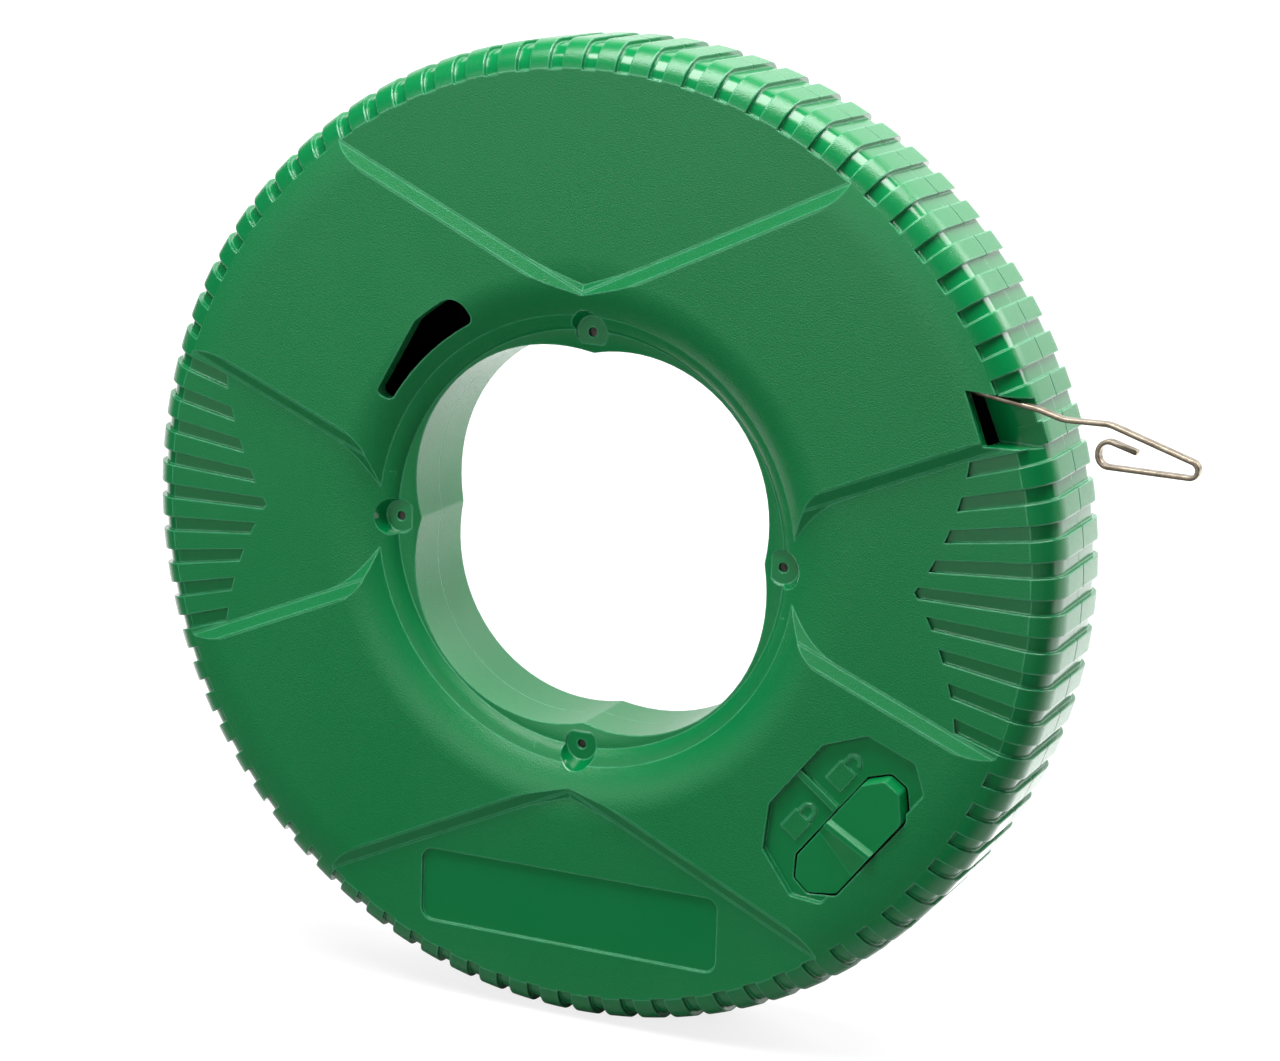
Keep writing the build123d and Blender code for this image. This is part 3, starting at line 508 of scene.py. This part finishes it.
    def plastic(self, finish: Plastic, regions: bool = False) -> bpy.types.Material:
        """Moulded plastic with grain, rounded edges with a painted pale highlight and rub, and
        slow mottling.

        Args:
            finish: the plastic.
            regions: polish the rim, slots, lock recess and screw pockets.

        Returns:
            The material, made once for each finish.
        """
        if finish.name in self.made:
            return self.made[finish.name]
        material, wire, surface, place = self.start(finish.name)
        rounded, highlight_and_wear = self.edges(wire, finish.edge_radius, place)
        mottle = self.use(wire, "mottle", Vector=place)
        grain = self.use(wire, "grain", Vector=place, Size=finish.grain_size)
        toned = wire.mix(wire.math("MULTIPLY", mottle.outputs["Tone"], self.pale_tone),
                         finish.body, finish.pale)
        rubbed = wire.math("MULTIPLY", mottle.outputs["Rub"], self.pale_rub)
        # Edges take the pale colour as a painted highlight and rub; the streaks add faint rub
        # marks.
        marked = wire.math("ADD", wire.math("MULTIPLY", highlight_and_wear, self.pale_highlight), rubbed, clamp=True)
        wire.feed(surface.inputs["Base Color"], wire.mix(marked, toned, finish.pale))
        rise, offset = self.tone_gloss
        gloss = wire.math("MULTIPLY_ADD", mottle.outputs["Tone"], rise,
                          finish.sheen.value + offset)
        height = grain.outputs["Height"]
        shine = finish.specular
        if regions:
            polished = self.use(wire, "polished", Vector=place).outputs["Polished"]
            kept = wire.math("SUBTRACT", 1.0, polished)
            gloss = wire.math("MULTIPLY_ADD", polished,
                              Sheen.POLISHED.value - finish.sheen.value, gloss)
            height = wire.math("MULTIPLY", height, wire.math(
                "MULTIPLY_ADD", kept, 1.0 - self.polished_grain, self.polished_grain))
            shine = wire.math("MULTIPLY_ADD", polished, self.polished_shine - finish.specular,
                              finish.specular)
        gloss = wire.math("MULTIPLY_ADD", highlight_and_wear, self.edge_gloss, gloss)
        wire.feed(surface.inputs["Roughness"], gloss)
        wire.feed(surface.inputs["Specular IOR Level"], shine)
        self.relief(wire, surface, height, finish.grain_depth, rounded)
        self.made[finish.name] = material
        return material

    def metal(self, finish: Metal) -> bpy.types.Material:
        """Metal with stains, fine drawn scratches and edges brightened as rubbed metal and
        painted highlight.

        Args:
            finish: the metal.

        Returns:
            The material, made once for each finish.
        """
        if finish.name in self.made:
            return self.made[finish.name]
        material, wire, surface, place = self.start(finish.name)
        rounded, highlight_and_wear = self.edges(wire, finish.edge_radius, place)
        spots = wire.noise(place, size=0.004, detail=4.0, roughness=0.65)
        patch = wire.ramp(spots, low=0.4, high=0.66)
        stained = wire.mix(patch, finish.body, finish.stain)
        bright = tuple(min(1.0, self.bright_gain * part + self.bright_lift)
                       for part in finish.body)
        # Edges are brightened in colour: partly rubbed metal, partly a painted highlight.
        wire.feed(surface.inputs["Base Color"],
                  wire.mix(wire.math("MULTIPLY", highlight_and_wear, self.metal_highlight_and_wear), stained, bright))
        surface.inputs["Metallic"].default_value = self.metal_share
        wire.feed(surface.inputs["Roughness"],
                  wire.math("MULTIPLY_ADD", patch, self.stain_gloss, finish.roughness))
        stretched = wire.node("Mapping")
        wire.feed(stretched.inputs["Vector"], place)
        stretched.inputs["Scale"].default_value = self.scratch_scale
        scratch = wire.noise(stretched.outputs[0], size=0.0003, roughness=0.6)
        self.relief(wire, surface, scratch, finish.scratch_depth, rounded)
        self.made[finish.name] = material
        return material


def grid_mesh(name: str, points: np.ndarray, around: bool, along: bool) -> bpy.types.Object:
    """Mesh of quads over a grid of points.

    Args:
        name: the object's name.
        points: array of rows by columns by 3, in metres.
        around: join the last column to the first.
        along: join the last row to the first.

    Returns:
        The object, smooth shaded, with outward faces where rows by columns turn outwards.
    """
    rows, columns = points.shape[:2]
    row = np.arange(rows if along else rows - 1)
    column = np.arange(columns if around else columns - 1)
    i, j = np.meshgrid(row, column, indexing="ij")
    down, right = (i + 1) % rows, (j + 1) % columns
    quads = np.stack([i * columns + j, i * columns + right, down * columns + right,
                      down * columns + j], axis=-1).reshape(-1, 4)
    mesh = bpy.data.meshes.new(name)
    mesh.from_pydata(points.reshape(-1, 3), [], quads)
    mesh.polygons.foreach_set("use_smooth", np.ones(len(mesh.polygons), bool))
    mesh.update()
    piece = bpy.data.objects.new(name, mesh)
    bpy.context.scene.collection.objects.link(piece)
    return piece


def dress(piece: bpy.types.Object, material: bpy.types.Material) -> None:
    """Give a piece one material."""
    piece.data.materials.clear()
    piece.data.materials.append(material)


def finish_nodes(names: tuple[str, ...], material: bpy.types.Material) -> None:
    """Shade each named solid smoothly between its creases and give it a material."""
    for name in names:
        smooth_node(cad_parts[name])
        dress(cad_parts[name], material)


def smooth_node(piece: bpy.types.Object, angle: float = 11.0, merge: float = 1e-6) -> None:
    """Shade a solid smoothly between its creases.

    Args:
        piece: the solid's object.
        angle: turn in degrees past which an edge stays sharp.
        merge: distance in metres under which its corners are joined.
    """
    piece.data.polygons.foreach_set("use_smooth", np.ones(len(piece.data.polygons), bool))
    weld = piece.modifiers.new("weld", "WELD")
    weld.merge_threshold = merge
    split = piece.modifiers.new("creases", "EDGE_SPLIT")
    split.split_angle = math.radians(angle)
    split.use_edge_sharp = False


@dataclass
class TapeLeader:
    """The spring-steel tape end: a flat strip bent to a hook, from the coil to its tip.

    Lengths are in millimetres in the tape's own plane, which leans about the upright axis.
    """

    width: float = 3.2
    thickness: float = 1.5
    lean: float = 3.64
    level: float = -10.47
    corners: tuple[tuple[float, float], ...] = (
        (-85.4, 92.4), (144.7, 58.0), (152.5, 55.9), (166.4, 56.2),
        (207.2, 43.6), (163.5, 43.9), (163.5, 52.3), (174.9, 49.1))
    bends: tuple[float, ...] = (20.0, 12.0, 9.0, 2.4, 3.3, 3.3)
    arc_points: int = 14
    section_points: int = 28
    section_power: float = 0.4
    cap_length: float = 0.4
    cap_steps: tuple[float, ...] = (0.7, 1.0)
    cap_scales: tuple[float, ...] = (0.8, 0.001)

    def centre_line(self) -> tuple[np.ndarray, np.ndarray]:
        """Line of straight runs joined by tangent arcs, in the tape's own plane.

        Each corner of the line is rounded by an arc of its bend radius r, which starts and
        ends r * tan(turn / 2) from the corner.

        Returns:
            Points and unit tangents, each an array of n by 2.
        """
        corner = np.array(self.corners)
        run = np.diff(corner, axis=0)
        unit = run / np.linalg.norm(run, axis=1, keepdims=True)
        points, tangents = [corner[0]], [unit[0]]
        for index, bend in enumerate(self.bends):
            before, after = unit[index], unit[index + 1]
            cross = before[0] * after[1] - before[1] * after[0]
            turn = math.atan2(cross, float(before @ after))
            start = corner[index + 1] - before * bend * math.tan(abs(turn) / 2)
            normal = np.array([-before[1], before[0]]) * math.copysign(1.0, turn)
            centre = start + normal * bend
            sweep = np.linspace(0.0, turn, self.arc_points)
            cos, sin = np.cos(sweep), np.sin(sweep)
            arm = start - centre
            for start_arm, kept, shift in ((arm, points, centre), (before, tangents, 0.0)):
                kept.extend(shift + np.stack([start_arm[0] * cos - start_arm[1] * sin,
                                              start_arm[0] * sin + start_arm[1] * cos], -1))
        points.append(corner[-1])
        tangents.append(unit[-1])
        return np.array(points), np.array(tangents)

    def build(self) -> bpy.types.Object:
        """Carry a rounded rectangle along the line and close its two ends.

        The section is a superellipse of power 5: offset = half size * sign(c) * |c| ** 0.4
        across the strip, with the cosine c, and the same with the sine along its width. The
        ends are closed by two smaller sections each.

        Returns:
            The finished strip.
        """
        line, tangent = self.centre_line()
        turn = np.linspace(0, 2 * np.pi, self.section_points, endpoint=False)
        c, s = np.cos(turn), np.sin(turn)
        across = 0.5 * self.thickness * np.sign(c) * np.abs(c) ** self.section_power
        deep = 0.5 * self.width * np.sign(s) * np.abs(s) ** self.section_power
        cap = self.cap_length * np.array(self.cap_steps)[:, None]
        line = np.vstack([line[0] - tangent[0] * cap[::-1], line, line[-1] + tangent[-1] * cap])
        tangent = np.vstack([[tangent[0]] * len(cap), tangent, [tangent[-1]] * len(cap)])
        ends = np.array(self.cap_scales)
        scale = np.concatenate([ends[::-1], np.ones(len(line) - 2 * len(ends)), ends])
        normal = np.stack([-tangent[:, 1], tangent[:, 0]], -1)
        flat = line[:, None, :] + normal[:, None, :] * (across * scale[:, None])[..., None]
        depth = deep * scale[:, None]
        lean = math.radians(self.lean)
        along = np.array([math.cos(lean), -math.sin(lean), 0.0])
        out = np.array([-math.sin(lean), -math.cos(lean), 0.0])
        up = np.array([0.0, 0.0, 1.0])
        points = (flat[..., :1] * along + flat[..., 1:] * up + depth[..., None] * out
                  + np.array([0.0, self.level, 0.0])) * MM
        piece = grid_mesh("tape_leader", points, around=True, along=False)
        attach(piece, "leader")
        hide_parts("tape_end")
        return piece


@dataclass
class WoundTape:
    """The coil in the basket: turns of tape side by side on a ribbed ring, in metres."""

    depth: float = 0.016
    turns: int = 10
    layers: int = 7
    samples: int = 6
    segments: int = 160
    groove: float = 0.0005
    roundness: float = 0.5

    def build(self) -> bpy.types.Object:
        """Ring whose section is scalloped: one bulge for each turn of tape.

        Round the section the surface is pushed in by groove * (1 - |sin(n pi t)| ** 0.5),
        with n turns along the inner and outer sides and n layers along the ends.

        Returns:
            The finished coil.
        """
        low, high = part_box("tape_coil")
        outer, front, back = high.x, low.y, high.y
        inner = outer - self.depth
        side = np.linspace(0, 1, self.turns * self.samples, endpoint=False)
        end = np.linspace(0, 1, self.layers * self.samples, endpoint=False)
        dip_side, dip_end = (
            self.groove * (1 - np.abs(np.sin(np.pi * part * count)) ** self.roundness)
            for part, count in ((side, self.turns), (end, self.layers)))
        radial = np.concatenate([outer - dip_side, outer + (inner - outer) * end,
                                 inner + dip_side, inner + (outer - inner) * end])
        axial = np.concatenate([front + (back - front) * side, back - dip_end,
                                back + (front - back) * side, front + dip_end])
        turn = np.linspace(0, 2 * np.pi, self.segments, endpoint=False)
        points = np.stack([np.cos(turn)[:, None] * radial, np.broadcast_to(
            axial, (self.segments, len(axial))), np.sin(turn)[:, None] * radial], -1)
        piece = grid_mesh("wound_tape", points, around=True, along=True)
        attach(piece, "reel")
        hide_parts("tape_coil")
        return piece


@dataclass
class Case:
    """Both shells, their screws and slip rings."""

    shells: tuple[str, ...] = ("front_shell", "rear_shell")
    slip_rings: tuple[str, ...] = ("hub_sleeve", "hub_washer", "glide_ring")
    clips: tuple[str, ...] = ("hub_circlip",)
    screws: tuple[str, ...] = ("case_screws",)

    def dress_nodes(self, shop: FinishShop) -> None:
        """Finish the shells, the sleeve and rings and the screws."""
        finish_nodes(self.shells, shop.plastic(GREEN, regions=True))
        finish_nodes(self.slip_rings, shop.plastic(SLIP_WHITE))
        finish_nodes(self.clips, shop.metal(ZINC))
        finish_nodes(self.screws, shop.metal(SCREW_BLACK))
        log.info("case dressed: %s", ", ".join(self.shells))


@dataclass
class Reel:
    """The spinning basket, its lock ring and small parts, and the wound tape."""

    mouldings: tuple[str, ...] = ("reel_basket", "lock_ring")
    screws: tuple[str, ...] = ("lock_ring_screws", "tape_anchor_screw")

    def dress_nodes(self, shop: FinishShop) -> None:
        """Finish the basket, ring and screws, and build the coil."""
        finish_nodes(self.mouldings, shop.plastic(REEL_BLACK))
        finish_nodes(self.screws, shop.metal(ZINC))
        coil = WoundTape().build()
        dress(coil, shop.metal(TAPE_STEEL))
        log.info("reel dressed, coil has %d faces", len(coil.data.polygons))


@dataclass
class Lock:
    """The rocker, its pin and frame, the bolt, its spring and the detent."""

    levers: tuple[str, ...] = ("lock_rocker",)
    metals: tuple[str, ...] = ("rocker_pin", "lock_frame", "lock_frame_screws", "lock_bolt",
                               "bolt_spring", "rocker_detent", "detent_rivet")

    def dress_nodes(self, shop: FinishShop) -> None:
        """Finish the rocker in green and the rest in zinc."""
        finish_nodes(self.levers, shop.plastic(LOCK_GREEN))
        finish_nodes(self.metals, shop.metal(ZINC))
        log.info("lock dressed: %s", ", ".join(self.levers + self.metals))


@dataclass(frozen=True)
class SoftLamp:
    """A rectangular lamp that faces the object: place and size in metres, power in watts.

    The glint is the share of its light that reflections show.
    """

    name: str
    spot: tuple[float, float, float]
    size: tuple[float, float]
    power: float
    glint: float = 1.0

    def hang(self) -> None:
        """Hang the lamp, aimed at the middle of the object."""
        data = bpy.data.lights.new(self.name, "AREA")
        data.shape = "RECTANGLE"
        data.size, data.size_y = self.size
        data.energy = self.power
        data.specular_factor = self.glint
        lamp = bpy.data.objects.new(self.name, data)
        aim = (-Vector(self.spot)).to_track_quat("-Z", "Y")
        lamp.matrix_world = Matrix.Translation(self.spot) @ aim.to_matrix().to_4x4()
        bpy.context.scene.collection.objects.link(lamp)


@dataclass
class Studio:
    """Pale floor and backdrop, soft lamps and the camera.

    Each step is a start, an end and the results at both. The tones and the mirrored glow
    step along Y, from in front of the object to behind it, and the shown glow steps with
    the distance from the object.
    """

    spot: tuple[float, float, float] = (0.41229, -0.89047, 0.22913)
    right: tuple[float, float, float] = (0.90830, 0.41724, 0.03033)
    up: tuple[float, float, float] = (-0.12159, 0.19391, 0.97347)
    back: tuple[float, float, float] = (0.40029, -0.88787, 0.22685)
    lens: float = 89.91
    sensor: float = 36.0
    grey: float = 0.22
    roughness: float = 0.9
    floor_reach: float = 3.0
    backdrop_reach: float = 2.6
    backdrop_place: float = 1.7
    backdrop_top: float = 2.4
    backdrop_glow: float = 1.3
    shown_glow: tuple[float, ...] = (0.25, 0.9, 0.8, 1.0)
    mirrored_glow: tuple[float, ...] = (-0.02, 0.15, 0.0, 1.5)
    far_tone: tuple[float, ...] = (-1.0, -0.25, 0.45, 0.03)
    near_tone: tuple[float, ...] = (-0.1, 0.0, 0.03, 0.4)
    soft_light: float = 0.06
    lamps: tuple[SoftLamp, ...] = (
        SoftLamp("overhead", (0.1, -0.15, 1.15), (1.5, 0.6), 32.0, glint=2.4),
        SoftLamp("front_left", (-0.75, -1.2, 0.4), (0.5, 0.6), 3.4),
        SoftLamp("front", (-0.1, -1.2, 0.3), (0.3, 0.3), 2.4, glint=2.0),
        SoftLamp("rear_right", (0.85, 0.75, 0.75), (0.7, 0.7), 8.0))

    def glowing(self, name: str) -> tuple[bpy.types.Material, Wiring, bpy.types.Node]:
        """A matt grey stage material that glows white.

        Args:
            name: the material's name.

        Returns:
            The material, its wiring and its BSDF.
        """
        material = bpy.data.materials.new(name)
        material.use_nodes = True
        surface = material.node_tree.nodes["Principled BSDF"]
        surface.inputs["Base Color"].default_value = (self.grey, self.grey, self.grey, 1.0)
        surface.inputs["Roughness"].default_value = self.roughness
        surface.inputs["Emission Color"].default_value = WHITE
        return material, Wiring(material.node_tree), surface

    def floor(self) -> None:
        """Lay a floor that is white to the camera and keeps the object's shadow.

        Its glow to the camera grows with the distance from the object. Reflections see it
        glow behind the object, pale beneath it, dark close in front and paler further out.
        """
        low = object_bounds()[0][2]
        grid = np.linspace(-self.floor_reach, self.floor_reach, 9)
        gx, gy = np.meshgrid(grid, grid, indexing="ij")
        points = np.stack([gx, gy, np.full_like(gx, low)], -1)
        sheet = grid_mesh("floor", points, around=False, along=False)
        material, wire, surface = self.glowing("floor_white")
        place = wire.node("TexCoord").outputs["Object"]
        length = wire.node("VectorMath", operation="LENGTH")
        wire.feed(length.inputs[0], place)
        split = wire.node("SeparateXYZ")
        wire.feed(split.inputs[0], place)
        depth = split.outputs["Y"]
        rays = wire.node("LightPath")
        glossy = rays.outputs["Is Glossy Ray"]
        shown = wire.math("MULTIPLY", rays.outputs["Is Camera Ray"],
                          wire.ramp(length.outputs["Value"], *self.shown_glow))
        mirrored = wire.math("MULTIPLY", glossy, wire.ramp(depth, *self.mirrored_glow))
        wire.feed(surface.inputs["Emission Strength"], wire.math("ADD", shown, mirrored))
        tones = wire.math("MAXIMUM", wire.ramp(depth, *self.far_tone),
                          wire.ramp(depth, *self.near_tone))
        change = wire.math("SUBTRACT", tones, self.grey)
        tone = wire.math("ADD", wire.math("MULTIPLY", glossy, change), self.grey)
        wire.feed(surface.inputs["Base Color"], tone)
        dress(sheet, material)
        sheet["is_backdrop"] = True

    def backdrop(self) -> None:
        """Hang a lit white sheet behind the object, well clear of it."""
        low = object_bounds()[0][2]
        gx, gz = np.meshgrid(np.linspace(-self.backdrop_reach, self.backdrop_reach, 9),
                             np.linspace(low, self.backdrop_top, 5), indexing="ij")
        points = np.stack([gx, np.full_like(gx, self.backdrop_place), gz], -1)
        sheet = grid_mesh("backdrop", points, around=False, along=False)
        material, _, surface = self.glowing("backdrop_white")
        surface.inputs["Emission Strength"].default_value = self.backdrop_glow
        dress(sheet, material)
        sheet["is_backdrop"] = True

    def world(self) -> None:
        """White to the camera, a plain soft grey to the lighting and to reflections."""
        world = bpy.data.worlds.new("studio")
        bpy.context.scene.world = world
        world.use_nodes = True
        tree = world.node_tree
        tree.nodes.clear()
        wire = Wiring(tree)
        seen = wire.node("LightPath")
        shown = wire.node("MixShader")
        tree.links.new(seen.outputs["Is Camera Ray"], shown.inputs[0])
        for socket, strength in zip(shown.inputs[1:], (self.soft_light, 1.0)):
            light = wire.node("Background")
            light.inputs["Color"].default_value = WHITE
            light.inputs["Strength"].default_value = strength
            tree.links.new(light.outputs[0], socket)
        out = wire.node("OutputWorld")
        tree.links.new(shown.outputs[0], out.inputs[0])

    def camera(self) -> None:
        """Set the camera by its place and its three directions."""
        data = bpy.data.cameras.new("camera")
        data.sensor_width = self.sensor
        data.lens = self.lens
        camera = bpy.data.objects.new("camera", data)
        turn = Matrix((self.right, self.up, self.back)).transposed()
        camera.matrix_world = Matrix.Translation(self.spot) @ turn.to_4x4()
        bpy.context.scene.collection.objects.link(camera)
        bpy.context.scene.camera = camera

    def build(self) -> None:
        """Set up the floor, world, lamps, camera and view."""
        self.camera()
        self.floor()
        self.backdrop()
        self.world()
        for lamp in self.lamps:
            lamp.hang()
        bpy.context.scene.view_settings.view_transform = "Standard"
        log.info("studio ready")


def main() -> None:
    """Build every sub-assembly in order and report it."""
    logging.basicConfig(level=logging.INFO)
    shop = FinishShop()
    shop.build_groups()
    Case().dress_nodes(shop)
    Reel().dress_nodes(shop)
    Lock().dress_nodes(shop)
    leader = TapeLeader().build()
    dress(leader, shop.metal(TAPE_STEEL))
    log.info("tape leader has %d faces", len(leader.data.polygons))
    Studio().build()


if __name__ == "__main__":
    main()
